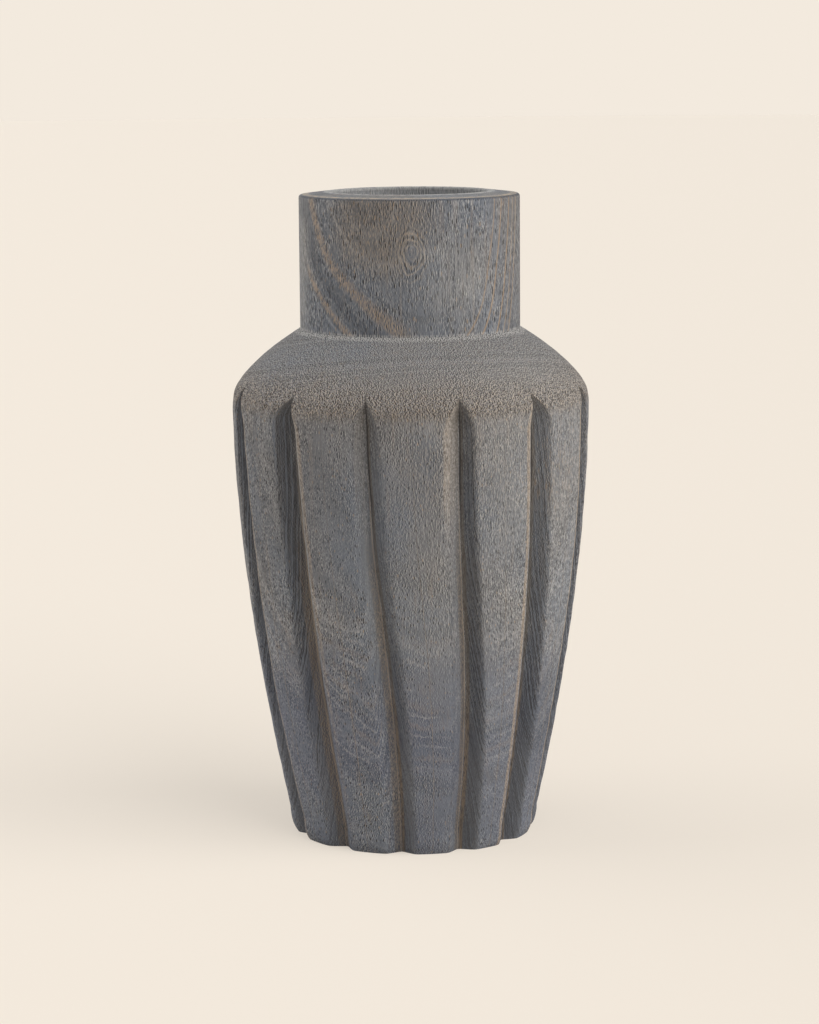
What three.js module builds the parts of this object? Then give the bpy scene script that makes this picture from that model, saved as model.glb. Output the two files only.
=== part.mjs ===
// A hollow wooden vase. Its body is turned and then carved with long flutes, its neck is a turned ring
// glued into the body's top, and a turned disc closes the foot.
// Millimetres, +Z up, -Y to the front. The origin is the middle of the foot, on the table.
import * as THREE from 'three';

// Outline of the body over its ribs
const FOOT_REST_RADIUS = 56;
const FOOT_RADIUS = 58.5;
const FOOT_EDGE_HEIGHT = 10;
const FOOT_CORNER_HEIGHT = 3.5;
const BELLY_RADIUS = 82.8;
const BELLY_HEIGHT = 200;
const FLANK_SWELL_HEIGHT = 117.5;
const FLANK_SWELL_INSET = 1.1;
const SHOULDER_EDGE_RISE = 8.6;
const SHOULDER_EDGE_INSET = 0.9;
const SHOULDER_EDGE_ROUND = 2.1;
const SHOULDER_RISE = 37;
// Where the shoulder's two end tangents meet, as shares of its run inwards and of its rise
const SHOULDER_BULGE_IN = 0.17;
const SHOULDER_BULGE_UP = 0.43;

// Neck and rim
const MOUTH_RADIUS = 36;
const NECK_WALL = 15;
const NECK_HEIGHT = 63;
const RIM_FALL = 1.4;
const RIM_OUTER_ROUND = 1.6;
const RIM_INNER_ROUND = 2.4;
const SPIGOT_WALL = 6;
const SPIGOT_LENGTH = 13;
const SPIGOT_CHAMFER = 1;

// Flutes, carved by hand, so each leans and sways a little in its own way
const FLUTE_COUNT = 12;
const FLUTE_DEPTH = 7.8;
const FLUTE_WIDTH = 17;
const FLUTE_STRAIGHT_WALL = 0.7;
const FLUTE_TIP_RISE = 12.5;
const FLUTE_RUNOUT = 11;
const FLUTE_FIRST_ANGLE = 15.2;
const FLUTE_SPACING_DRIFT = 1;
const FLUTE_LEAN = 7;
const FLUTE_LEAN_SPREAD = 1.5;
const FLUTE_SWAY = 1.3;
const FLUTE_TIP_NARROWING = 0.12;

// Walls, foot disc and glued fits
const VALLEY_WALL = 9;
const FOOT_RING = 8.5;
const DISC_THICKNESS = 12;
const DISC_LIFT = 2;
const DISC_CHAMFER = 0.8;
const LEDGE_WIDTH = 6;
const LEDGE_THICKNESS = 6;
const COVE_HEIGHT = 12;
const DOME_HEIGHT = 31;
const DOME_CORNER_DROP = 8;
const SPIGOT_END_GAP = 1;
const GLUE_GAP = 0.3;

// Places that follow from the sizes above
const BODY_HEIGHT = BELLY_HEIGHT + SHOULDER_RISE;
const NECK_RADIUS = MOUTH_RADIUS + NECK_WALL;
const RIM_HEIGHT = BODY_HEIGHT + NECK_HEIGHT;
const SPIGOT_RADIUS = MOUTH_RADIUS + SPIGOT_WALL;
const SOCKET_RADIUS = SPIGOT_RADIUS + GLUE_GAP;
const SOCKET_FLOOR = BODY_HEIGHT - SPIGOT_LENGTH - SPIGOT_END_GAP;
const RECESS_RADIUS = FOOT_RADIUS - FLUTE_DEPTH - FOOT_RING;
const RECESS_TOP = DISC_LIFT + DISC_THICKNESS;
const LEDGE_TOP = RECESS_TOP + LEDGE_THICKNESS;
const FLUTE_TIP = BELLY_HEIGHT + FLUTE_TIP_RISE;

// How finely the round shapes are drawn
const TURNED_SEGMENTS = 72;
const FOOT_EDGE_STEPS = 3;
const FLANK_STEPS = 10;
const SHOULDER_EDGE_STEPS = 3;
const SHOULDER_STEPS = 6;
const CAVITY_WALL_STEPS = 4;
const CAVITY_CORNER_STEPS = 3;
const ROUNDING_STEPS = 3;
const FLUTE_SECTION = [0, 0.7, 0.85, 1];
const RIB_COLUMNS = 2;
const COLUMNS_PER_FLUTE = 2 * FLUTE_SECTION.length - 1 + RIB_COLUMNS;

const bodyWood = new THREE.MeshStandardMaterial({ color: 0x74757b, roughness: 0.82, metalness: 0 });
const neckWood = new THREE.MeshStandardMaterial({ color: 0x7b7675, roughness: 0.8, metalness: 0 });
const discWood = new THREE.MeshStandardMaterial({ color: 0x9a8566, roughness: 0.88, metalness: 0 });

function point(radius, height) {
  return new THREE.Vector2(radius, height);
}

function curvePoints(from, corner, to, steps) {
  return new THREE.QuadraticBezierCurve(from, corner, to).getPoints(steps);
}

// Turns a closed outline of radius and height about the Z axis. Angle 0 is the front and grows towards +X.
function turned(outline, segments) {
  return new THREE.LatheGeometry(outline, segments).rotateX(Math.PI / 2);
}

// The flank's curve, from the foot's edge to the belly
const flank = new THREE.QuadraticBezierCurve(
  point(FOOT_RADIUS, FOOT_EDGE_HEIGHT),
  point(BELLY_RADIUS - FLANK_SWELL_INSET, FLANK_SWELL_HEIGHT),
  point(BELLY_RADIUS, BELLY_HEIGHT),
);

// The flank's radius at a height: straight down below the flank, straight up above it
function flankRadius(height) {
  const rise = THREE.MathUtils.clamp(height, FOOT_EDGE_HEIGHT, BELLY_HEIGHT) - FOOT_EDGE_HEIGHT;
  const first = 2 * (flank.v1.y - flank.v0.y);
  const second = flank.v0.y - 2 * flank.v1.y + flank.v2.y;
  const share = (2 * rise) / (first + Math.sqrt(first * first + 4 * second * rise));
  return flank.getPoint(share).x;
}

// The body's outer outline over the ribs, from the table up to the neck's seat
function ribOutline() {
  const shoulderEdge = point(BELLY_RADIUS - SHOULDER_EDGE_INSET, BELLY_HEIGHT + SHOULDER_EDGE_RISE);
  const neckSeat = point(NECK_RADIUS, BODY_HEIGHT);
  const footEdge = curvePoints(
    point(FOOT_REST_RADIUS, 0),
    point(FOOT_RADIUS, FOOT_CORNER_HEIGHT),
    point(FOOT_RADIUS, FOOT_EDGE_HEIGHT),
    FOOT_EDGE_STEPS,
  );
  const roundedEdge = curvePoints(
    point(BELLY_RADIUS, BELLY_HEIGHT),
    point(BELLY_RADIUS, shoulderEdge.y - SHOULDER_EDGE_ROUND),
    shoulderEdge,
    SHOULDER_EDGE_STEPS,
  );
  const shoulder = curvePoints(
    shoulderEdge,
    point(
      THREE.MathUtils.lerp(shoulderEdge.x, neckSeat.x, SHOULDER_BULGE_IN),
      THREE.MathUtils.lerp(shoulderEdge.y, neckSeat.y, SHOULDER_BULGE_UP),
    ),
    neckSeat,
    SHOULDER_STEPS,
  );
  return [
    ...footEdge,
    ...flank.getPoints(FLANK_STEPS).slice(1),
    ...roundedEdge.slice(1),
    ...shoulder.slice(1),
  ];
}

// The hollow's outline, from the neck's socket down to the foot disc's recess
function hollowOutline() {
  const wall = FLUTE_DEPTH + VALLEY_WALL;
  const wallTop = SOCKET_FLOOR - DOME_HEIGHT;
  const wallFoot = LEDGE_TOP + COVE_HEIGHT;
  const coveEdge = RECESS_RADIUS - LEDGE_WIDTH;
  const outline = [point(SOCKET_RADIUS, BODY_HEIGHT)];
  outline.push(
    ...curvePoints(
      point(SOCKET_RADIUS, SOCKET_FLOOR),
      point(flankRadius(wallTop) - wall, SOCKET_FLOOR - DOME_CORNER_DROP),
      point(flankRadius(wallTop) - wall, wallTop),
      CAVITY_CORNER_STEPS,
    ),
  );
  for (let step = 1; step < CAVITY_WALL_STEPS; step += 1) {
    const height = THREE.MathUtils.lerp(wallTop, wallFoot, step / CAVITY_WALL_STEPS);
    outline.push(point(flankRadius(height) - wall, height));
  }
  outline.push(
    ...curvePoints(
      point(flankRadius(wallFoot) - wall, wallFoot),
      point(flankRadius(wallFoot) - wall, LEDGE_TOP),
      point(coveEdge, LEDGE_TOP),
      CAVITY_CORNER_STEPS,
    ),
    point(coveEdge, RECESS_TOP),
    point(RECESS_RADIUS, RECESS_TOP),
    point(RECESS_RADIUS, 0),
  );
  return outline;
}

// The flute's section: 1 in the valley and 0 on the rib, with straight walls that round over into the rib.
// The share goes from 0 in the valley to 1 where the rib begins.
function fluteCut(share) {
  const slope = 2 / (1 + FLUTE_STRAIGHT_WALL);
  if (share < FLUTE_STRAIGHT_WALL) {
    return 1 - slope * share;
  }
  return (slope * (1 - share) ** 2) / (2 * (1 - FLUTE_STRAIGHT_WALL));
}

// How far the flutes are cut at a height: 0 at their tips, 1 below their run-out
function runout(height) {
  const share = THREE.MathUtils.clamp((FLUTE_TIP - height) / FLUTE_RUNOUT, 0, 1);
  return Math.sin((share * Math.PI) / 2);
}

// The direction of a flute's valley at a height, in radians from the front
function fluteAngle(flute, height) {
  const even = FLUTE_FIRST_ANGLE + (360 / FLUTE_COUNT) * flute;
  const turn = THREE.MathUtils.degToRad(even);
  const down = THREE.MathUtils.clamp((FLUTE_TIP - height) / FLUTE_TIP, 0, 1);
  const start = even - FLUTE_SPACING_DRIFT * Math.sin(turn);
  const lean = (FLUTE_LEAN + FLUTE_LEAN_SPREAD * Math.cos(2 * turn)) * down;
  const sway = FLUTE_SWAY * Math.cos(2 * turn) * Math.sin(2 * Math.PI * down);
  return THREE.MathUtils.degToRad(start + lean - sway);
}

// One level of the body: the angle of each column round it, and how deep the flutes cut there, from 0 to 1
function columnsAt(height) {
  const narrowing = Math.max(runout(height), FLUTE_TIP_NARROWING);
  const halfWidth = (FLUTE_WIDTH * narrowing) / 2 / flankRadius(height);
  const columns = [];
  for (let flute = 0; flute < FLUTE_COUNT; flute += 1) {
    const valley = fluteAngle(flute, height);
    const nextValley = fluteAngle(flute + 1, height);
    for (const share of FLUTE_SECTION) {
      columns.push({ angle: valley + share * halfWidth, cut: fluteCut(share) });
    }
    for (let column = 1; column <= RIB_COLUMNS; column += 1) {
      const across = column / (RIB_COLUMNS + 1);
      columns.push({
        angle: THREE.MathUtils.lerp(valley + halfWidth, nextValley - halfWidth, across),
        cut: 0,
      });
    }
    for (const share of FLUTE_SECTION.slice(1).reverse()) {
      columns.push({ angle: nextValley - share * halfWidth, cut: fluteCut(share) });
    }
  }
  return columns;
}

// The body: its outline turned as a closed ring, with the flutes pressed into the outer rows
function flutedBody() {
  const ribs = ribOutline();
  const outline = [...ribs, ...hollowOutline(), ribs[0]];
  const columnCount = FLUTE_COUNT * COLUMNS_PER_FLUTE;
  const valleyFoot = FOOT_RADIUS - FLUTE_DEPTH;
  const shell = new THREE.LatheGeometry(outline, columnCount);
  const position = shell.getAttribute('position');
  outline.forEach((place, row) => {
    const outside = row < ribs.length || row === outline.length - 1;
    const depth = outside ? Math.min(FLUTE_DEPTH * runout(place.y), place.x - valleyFoot) : 0;
    const columns = columnsAt(place.y);
    for (let column = 0; column <= columnCount; column += 1) {
      const { angle, cut } = columns[column % columnCount];
      const radius = place.x - depth * cut;
      position.setXYZ(
        column * outline.length + row,
        radius * Math.sin(angle),
        -radius * Math.cos(angle),
        place.y,
      );
    }
  });
  shell.computeVertexNormals();
  return shell;
}

// The neck: a ring with a rounded rim that slopes outwards, and a spigot below its seat
function neckCollar() {
  const bore = MOUTH_RADIUS;
  const spigotEnd = BODY_HEIGHT - SPIGOT_LENGTH;
  const outerCorner = point(NECK_RADIUS, RIM_HEIGHT - RIM_FALL);
  const outline = [point(NECK_RADIUS, BODY_HEIGHT)];
  outline.push(
    ...curvePoints(
      point(NECK_RADIUS, outerCorner.y - RIM_OUTER_ROUND),
      outerCorner,
      point(NECK_RADIUS - RIM_OUTER_ROUND, outerCorner.y),
      ROUNDING_STEPS,
    ),
    ...curvePoints(
      point(bore + RIM_INNER_ROUND, RIM_HEIGHT),
      point(bore, RIM_HEIGHT),
      point(bore, RIM_HEIGHT - RIM_INNER_ROUND),
      ROUNDING_STEPS,
    ),
    point(bore, spigotEnd),
    point(SPIGOT_RADIUS - SPIGOT_CHAMFER, spigotEnd),
    point(SPIGOT_RADIUS, spigotEnd + SPIGOT_CHAMFER),
    point(SPIGOT_RADIUS, BODY_HEIGHT),
    outline[0],
  );
  return turned(outline, TURNED_SEGMENTS);
}

// The foot disc: it lies against the ledge in the body's recess, clear of the table
function footDisc() {
  const radius = RECESS_RADIUS - GLUE_GAP;
  return turned(
    [
      point(0, DISC_LIFT),
      point(radius - DISC_CHAMFER, DISC_LIFT),
      point(radius, DISC_LIFT + DISC_CHAMFER),
      point(radius, RECESS_TOP),
      point(0, RECESS_TOP),
    ],
    TURNED_SEGMENTS,
  );
}

function piece(name, geometry, material) {
  const mesh = new THREE.Mesh(geometry, material);
  mesh.name = name;
  return mesh;
}

const vase = new THREE.Group();
vase.name = 'fluted_wooden_vase';
vase.add(
  piece('fluted_body', flutedBody(), bodyWood),
  piece('neck_collar', neckCollar(), neckWood),
  piece('foot_disc', footDisc(), discWood),
);

export default vase;
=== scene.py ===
"""A hollow wooden vase with carved flutes, washed blue-grey and wire-brushed.

Each of the frame's three pieces is modelled again here with its fine shape and its finish, in metres,
+Z up, with the front towards -Y.
"""

import math

import bmesh
import bpy
from mathutils import Matrix, Vector, noise


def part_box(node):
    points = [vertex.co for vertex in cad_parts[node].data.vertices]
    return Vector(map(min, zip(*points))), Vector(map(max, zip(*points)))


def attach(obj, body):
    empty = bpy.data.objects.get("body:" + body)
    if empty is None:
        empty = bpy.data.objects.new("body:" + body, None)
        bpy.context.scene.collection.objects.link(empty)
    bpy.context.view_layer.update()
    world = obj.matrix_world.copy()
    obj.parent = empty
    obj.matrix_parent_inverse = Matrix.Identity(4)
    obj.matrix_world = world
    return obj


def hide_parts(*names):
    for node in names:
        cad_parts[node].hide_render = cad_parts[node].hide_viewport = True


bl_info = {
    "name": "Fluted wooden vase",
    "version": (1, 0, 0),
    "blender": (4, 5, 0),
    "location": "View3D > Sidebar > Vase",
    "description": "Models a fluted, grey-washed wooden vase round its frame",
    "category": "Add Mesh",
}

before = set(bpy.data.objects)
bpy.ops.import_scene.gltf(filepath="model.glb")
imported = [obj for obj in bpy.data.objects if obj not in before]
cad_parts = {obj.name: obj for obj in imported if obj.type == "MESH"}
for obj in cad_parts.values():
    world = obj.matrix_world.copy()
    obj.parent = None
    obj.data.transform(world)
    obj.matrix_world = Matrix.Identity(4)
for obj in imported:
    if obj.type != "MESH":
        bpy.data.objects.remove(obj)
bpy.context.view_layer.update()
BODY_LOW, BODY_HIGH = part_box("fluted_body")
NECK_LOW, NECK_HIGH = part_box("neck_collar")
DISC_LOW, DISC_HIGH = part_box("foot_disc")

MM = 0.001
PER_METRE = 1 / MM
FULL_TURN = 2 * math.pi
# Edges sharper than these stay crisp
CRISP_CARVED = math.radians(50)
CRISP_TURNED = math.radians(35)


def length(name, description, default):
    """A property for a size in metres."""
    return bpy.props.FloatProperty(
        name=name, description=description, default=default, unit="LENGTH", precision=5
    )


def angle(name, description, degrees):
    """A property for an angle."""
    return bpy.props.FloatProperty(
        name=name, description=description, default=math.radians(degrees), subtype="ANGLE"
    )


def share(name, description, default):
    """A property for a share from 0 to 1."""
    return bpy.props.FloatProperty(
        name=name, description=description, default=default, min=0, max=1, subtype="FACTOR"
    )


def linear(colour):
    """A linear colour with alpha from an sRGB hex value such as 0x7A7B7E."""
    shares = [((colour >> shift) & 0xFF) / 255 for shift in (16, 8, 0)]
    return tuple(s / 12.92 if s <= 0.04045 else ((s + 0.055) / 1.055) ** 2.4 for s in shares) + (1.0,)


def paint(name, description, colour):
    """A property for a colour, written as an sRGB hex value."""
    return bpy.props.FloatVectorProperty(
        name=name, description=description, default=linear(colour), size=4, min=0, max=1, subtype="COLOR"
    )


class VaseBodySizes(bpy.types.PropertyGroup):
    foot_rest_radius: length("Foot rest radius", "Where the ribs touch the table", 0.056)
    foot_radius: length("Foot radius", "Over the ribs, above the foot's rounded edge", 0.0585)
    foot_corner_height: length("Foot corner", "Height of the corner that the foot's edge rounds", 0.0035)
    foot_edge_height: length("Foot edge height", "Where the foot's rounded edge ends", 0.01)
    belly_radius: length("Belly radius", "The widest part, over the ribs", 0.0828)
    belly_height: length("Belly height", "Height of the widest part", 0.2)
    swell_height: length("Swell height", "Where the flank's end tangents meet", 0.1175)
    swell_inset: length("Swell inset", "How far inside the belly they meet", 0.0011)
    edge_rise: length("Shoulder edge rise", "Height of the shoulder's edge over the belly", 0.0086)
    edge_inset: length("Shoulder edge inset", "How far inside the belly that edge lies", 0.0009)
    edge_round: length("Shoulder edge rounding", "How far below the edge its rounding starts", 0.0021)
    bulge_in: share("Bulge inwards", "Where the shoulder's end tangents meet, along its run", 0.17)
    bulge_up: share("Bulge upwards", "Where the shoulder's end tangents meet, along its rise", 0.43)
    flute_count: bpy.props.IntProperty(name="Flutes", description="Carved flutes", default=12, min=3)
    flute_depth: length("Flute depth", "From the rib's face to the valley", 0.0078)
    flute_width: length("Flute width", "Between the rib faces", 0.017)
    straight_wall: share("Straight wall", "Share of a flute's wall that is straight", 0.7)
    valley_round: share("Valley rounding", "As a share of a flute's half width", 0.05)
    tip_rise: length("Tip rise", "Height of the flutes' tips over the belly", 0.0125)
    tip_runout: length("Tip run-out", "Height over which a flute reaches its full depth", 0.011)
    tip_widening: length("Tip widening", "Height over which a flute reaches its full width", 0.017)
    tip_narrowing: share("Tip narrowing", "Width of the flute at its tip", 0.12)
    first_flute: angle("First flute", "Direction of the first flute's tip from the front", 15.2)
    spacing_drift: angle("Spacing drift", "How uneven the flutes' spacing is", 1)
    lean: angle("Lean", "How far a flute turns from its tip to the foot", 7)
    lean_spread: angle("Lean spread", "How differently the flutes lean", 1.5)
    sway: angle("Sway", "How far the flutes sway on their way down", 1.3)
    valley_wall: length("Valley wall", "Wood left behind the valleys", 0.009)
    foot_ring: length("Foot ring", "Wood left round the foot disc in the valleys", 0.0085)
    dome_height: length("Dome height", "Height of the hollow's rounded top", 0.031)
    dome_drop: length("Dome corner drop", "Depth of the corner that the dome rounds", 0.008)
    cove_height: length("Cove height", "Height of the hollow's rounded foot", 0.012)
    ledge_width: length("Ledge width", "Ledge over the foot disc", 0.006)
    ledge_thickness: length("Ledge thickness", "Ledge over the foot disc", 0.006)
    edge_wander: length("Carving wander", "How far the carved lines wander by hand", 0.0005)
    face_wander: length("Face wander", "How uneven the brushed rib faces are", 0.00022)


class VaseNeckSizes(bpy.types.PropertyGroup):
    wall: length("Wall", "Thickness of the neck", 0.015)
    rim_fall: length("Rim fall", "How far the rim slopes down outwards", 0.0014)
    outer_round: length("Outer rounding", "Rounding of the rim's outer edge", 0.0016)
    inner_round: length("Inner rounding", "Rounding of the rim's inner edge", 0.0012)
    spigot_wall: length("Spigot wall", "Thickness of the spigot", 0.006)
    spigot_chamfer: length("Spigot chamfer", "Chamfer of the spigot's end", 0.001)
    end_gap: length("End gap", "Room for glue under the spigot", 0.001)
    glue_gap: length("Glue gap", "Gap round the spigot and the foot disc", 0.0003)


class VaseDiscSizes(bpy.types.PropertyGroup):
    chamfer: length("Chamfer", "Softened lower edge of the disc", 0.0008)


class VaseFinish(bpy.types.PropertyGroup):
    blue_grey: paint("Blue-grey wash", "The wash where it lies thick", 0x6E7580)
    warm_grey: paint("Warm grey wash", "The wash where the wood shines through", 0x78787A)
    # Also painted shade on the flute walls turned from the light and high in the valleys' creases
    dark_pore_and_shade: paint("Dark pore", "Open pores", 0x2F2E31)
    # Also, in specks round the neck's foot, a painted highlight on the ring where neck and body meet
    pale_fleck_and_highlight: paint("Pale fleck", "Wash lodged beside pores", 0xBEBCB9)
    # Also painted light on the flute walls turned to the light, and a painted highlight beside the valleys
    speck_and_highlight: paint("Speck", "Wood rubbed pale", 0xB8A894)
    olive: paint("Olive wood", "Wood of the valleys under a film of wash", 0x6A6257)
    tan: paint("Tan wood", "Wood where brushing has taken the wash off", 0xA18A70)
    brown: paint("Brown line", "Dark specks and the bottom of the valleys", 0x453C35)
    # Also painted shade on the flute walls turned from the light
    thick_wash_and_shade: paint("Thick wash", "The wash where it has gathered", 0x393D46)
    deep_blue: paint("Deep blue wash", "The wash low on the body", 0x5A6176)
    # Also painted light on the flute walls turned to the light and inside the neck's bore, and a painted
    # reflection on the neck's left edge
    worn_pale_and_light: paint("Worn edge", "Edges rubbed pale", 0xA3A3A2)
    bare_wood: paint("Bare wood", "Turned wood without wash", 0xA58B68)


class VaseStageSettings(bpy.types.PropertyGroup):
    floor_colour: paint("Floor", "The plain floor", 0xF3EADE)
    camera_distance: length("Camera distance", "From the vase's axis", 1.407)
    camera_height: length("Camera height", "Over the table", 0.3727)
    camera_side: length("Camera side", "To the right of the vase's axis", -0.001)
    camera_fall: angle("Camera fall", "How far the camera looks down", 8.995)
    camera_roll: angle("Camera roll", "How far the camera leans", -0.45)
    lens: bpy.props.FloatProperty(name="Lens", description="Focal length", default=106.9, unit="CAMERA")


def bend(start, corner, end, part):
    """A point of the curve that leaves start towards corner and reaches end from there."""
    return start.lerp(corner, part).lerp(corner.lerp(end, part), part)


def outline_to(shape, place, corner=None, steps=1):
    """Carries an outline on to a radius and height, straight or round a corner.

    An outline lies in the plane X = 0, on the front side, and closes where it comes back to its start.
    """
    shape.verts.ensure_lookup_table()
    end = shape.verts[-1]
    first = end.co.copy()
    last = Vector((0, -place[0], place[1]))
    middle = Vector((0, -corner[0], corner[1])) if corner else (first + last) / 2
    for step in range(1, steps + 1):
        end = bmesh.ops.extrude_vert_indiv(shape, verts=[end])["verts"][0]
        end.co = bend(first, middle, last, step / steps)


def spin_round(shape, columns):
    """Closes an outline and turns it about the vase's axis into a closed skin."""
    bmesh.ops.remove_doubles(shape, verts=shape.verts[:], dist=MM / 1000)
    geom = shape.verts[:] + shape.edges[:]
    bmesh.ops.spin(
        shape, geom=geom, cent=(0, 0, 0), axis=(0, 0, 1), angle=FULL_TURN, steps=columns, use_merge=True
    )


def finished_piece(shape, name, node, growth, wood, crisp):
    """Makes a piece from its shape, its growth and its wood, in the place of a node of the frame."""
    mark_grain(shape, growth)
    bmesh.ops.remove_doubles(shape, verts=shape.verts[:], dist=MM / 1000)
    bmesh.ops.recalc_face_normals(shape, faces=shape.faces[:])
    for face in shape.faces:
        face.smooth = True
    mesh = bpy.data.meshes.new(name)
    shape.to_mesh(mesh)
    shape.free()
    mesh.set_sharp_from_angle(angle=crisp)
    mesh.materials.append(wood(bpy.context.scene.vase_finish))
    piece = bpy.data.objects.new(name, mesh)
    bpy.context.scene.collection.objects.link(piece)
    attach(piece, "root")
    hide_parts(node)


# How the tree grew, in millimetres. The body's pith runs a little behind its axis, so its rings show as
# level lines on the sloping flank and shoulder and as upright ones in the flutes.
BODY_PITH = Vector((-3.2, 13.6))
# How the rings and the fibres stray: by how much, and over what distance
BODY_RING_WAVES = ((1.4, 48), (0.5, 17))
BODY_FIBRE_WAVE = (1.6, 55)
NECK_RING_WAVES = ((0.7, 25),)
NECK_FIBRE_WAVE = (0.8, 40)
DISC_RING_WAVES = ((1, 30),)
# The neck was cut from the side of a log: its rings face a little to the right of the front. They rise
# from the seat, more so to the left, and bend over into the upright.
NECK_RING_FACE = math.radians(10)
NECK_RING_SEAT = 241
NECK_RING_RISE = 45
NECK_RING_ROUNDING = 35
NECK_RING_SLOPE = 0.19
NECK_RING_LEFT_SLOPE = 0.8
# A small knot on the neck's front: where it is, how far the fibres part round it and how softly in its
# middle, and its height to its width over its middle and below it
NECK_EYE = Vector((0.9, -51, 275))
EYE_SPREAD = 5
EYE_SOFTNESS = 2
EYE_TALL_ABOVE = 1.5
EYE_TALL_BELOW = 1.8
NO_EYE = 100
# The fibres' stray comes from a seed, so that each run gives the same wood
FIBRE_SEED = 1


def swell(place, waves):
    """How far some waves move a line or a face at a place."""
    return sum(amount * noise.noise(place / run) for amount, run in waves)


def fibre(place, amount, run):
    """The fibre at a place, which strays sideways on its way up."""
    drift = noise.noise_vector(place / run)
    return place + Vector((amount * drift.x, amount * drift.y, 0))


def body_growth(place):
    """The ring, the knot's ring and the fibre's place at a point of the body, all in millimetres."""
    ring = (place.xy - BODY_PITH).length + swell(place, BODY_RING_WAVES)
    return ring, NO_EYE, fibre(place, *BODY_FIBRE_WAVE)


def neck_growth(place):
    """The ring, the knot's ring and the fibre's place at a point of the neck, all in millimetres."""
    direction = math.atan2(place.x, -place.y)
    slope = NECK_RING_SLOPE + NECK_RING_LEFT_SLOPE * max(0, -math.sin(direction))
    rise = NECK_RING_RISE * (1 - math.exp((NECK_RING_SEAT - place.z) / NECK_RING_ROUNDING))
    ring = place.x * math.sin(NECK_RING_FACE) - place.y * math.cos(NECK_RING_FACE) + slope * rise
    ring += swell(place, NECK_RING_WAVES)
    front = max(0, -place.y / NECK_EYE.length)
    aside = place.x - NECK_EYE.x
    above = place.z - NECK_EYE.z
    above /= EYE_TALL_ABOVE if above > 0 else EYE_TALL_BELOW
    parting = aside * EYE_SPREAD**2 / (aside * aside + above * above + EYE_SOFTNESS) * front
    eye = math.hypot(aside, above) if place.y < 0 else NO_EYE
    grain = fibre(place, *NECK_FIBRE_WAVE) - Vector((parting, 0, 0))
    return ring, eye, grain


def disc_growth(place):
    """The ring, the knot's ring and the fibre's place at a point of the foot disc, all in millimetres."""
    return (place.xy - BODY_PITH).length + swell(place, DISC_RING_WAVES), NO_EYE, place.copy()


def mark_grain(shape, growth):
    """Writes on every vertex which growth ring and which fibres of the wood it is cut from."""
    noise.seed_set(FIBRE_SEED)
    ring_layer = shape.verts.layers.float.new("ring")
    eye_layer = shape.verts.layers.float.new("eye")
    grain_layer = shape.verts.layers.float_vector.new("grain")
    for vert in shape.verts:
        ring, eye, grain = growth(vert.co * PER_METRE)
        vert[ring_layer] = ring
        vert[eye_layer] = min(eye, NO_EYE)
        vert[grain_layer] = grain


# Sizes in the finish, in millimetres: width across the fibres and length along them. A pore is about half
# as wide as its cell. Real strands and strokes are finer, and are drawn as coarse as they need to show.
STRAND = (0.45, 16)
STREAK = (2.4, 60)
STROKE = (0.5, 1.1)
NECK_STROKE = (0.5, 1.9)
PORE = (1.0, 2.6)
NECK_PORE = (0.95, 4)
PORE_DEPTH = 0.2
# Longer strokes on the right-hand ribs, short ones on the shoulder, and the blotches of the rim
DASH = (0.62, 2.0)
WORM = (0.62, 0.8)
MOTTLE = (2.2, 2.2)
# The clouds of the wash, and the patches that were brushed harder
PATCH = (30, 50)
STROKE_PATCH = (13, 20)
# The spacing of the growth rings and of the fine lines in them, and how far strands fray their edges
RING_SPACING = 2.3
RING_HAIR = 0.5
RING_FRAY = 0.8
HAIR_FRAY = 0.9
NECK_FRAY = 0.6
# The spacing of the knot's rings, the size of the waves in them, and how far these move them
EYE_RING = 1.7
EYE_WOBBLE = (4, 6)
EYE_UNEVEN = 3.2
# How far the pale lip lies beside a pore or a stroke, as a share of the pattern's width
PORE_LIP = 0.36
STROKE_LIP = 0.7


def add(tree, kind, sockets, **settings):
    """Adds one node with its settings, gives its sockets values or links, and returns its output.

    Kind is what the name of its type has after ShaderNode.
    """
    node = tree.nodes.new("ShaderNode" + kind)
    for name, value in settings.items():
        setattr(node, name, value)
    for key, value in sockets.items():
        if isinstance(value, bpy.types.NodeSocket):
            tree.links.new(value, node.inputs[key])
        else:
            node.inputs[key].default_value = value
    return next((output for output in node.outputs if output.enabled), None)


def new_material(name):
    """A material with an empty tree."""
    material = bpy.data.materials.new(name)
    material.use_nodes = True
    material.node_tree.nodes.clear()
    return material, material.node_tree


def marks(tree, *names):
    """What the modelling wrote on the vertices, by name, and the fibres' place and its X, Y and Z."""
    read = {}
    for name in names:
        read[name] = add(tree, "Attribute", {}, attribute_name=name).node.outputs["Fac"]
    read["grain"] = add(tree, "Attribute", {}, attribute_name="grain").node.outputs["Vector"]
    read.update(add(tree, "SeparateXYZ", {0: read["grain"]}).node.outputs.items())
    return read


def grain_pattern(tree, grain, size, kind="TexNoise", detail=1.0, aside=0.0):
    """A pattern whose features have the given width across the fibres and length along them."""
    width, run = size
    scale = (1 / width, 1 / width, 1 / run)
    placed = add(tree, "Mapping", {"Vector": grain, "Location": (aside, 0, 0), "Scale": scale})
    return add(tree, kind, {"Vector": placed, "Scale": 1.0, "Detail": detail})


def mask(tree, strength, *limits):
    """A mask with a strength. Each limit is a value, where nothing shows and where all of it shows."""
    for value, nothing, full in limits:
        sockets = {0: value, 1: nothing, 2: full, 3: 0.0, 4: strength}
        strength = add(tree, "MapRange", sockets, interpolation_type="SMOOTHSTEP")
    return strength


def layered(tree, finish, colour, layers):
    """Lays paints over a colour. Each layer has its paint's name, its strength and its mask's limits."""
    for name, strength, *limits in layers:
        sockets = {0: mask(tree, strength, *limits), 6: colour, 7: getattr(finish, name)[:]}
        colour = add(tree, "Mix", sockets, data_type="RGBA")
    return colour


def patches(tree, grain, places):
    """The limits of a mask round each of some places: its middle, how far it reaches and its full part."""
    return {
        name: (add(tree, "VectorMath", {0: grain, 1: middle}, operation="DISTANCE"), reach, full)
        for name, (middle, reach, full) in places.items()
    }


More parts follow.
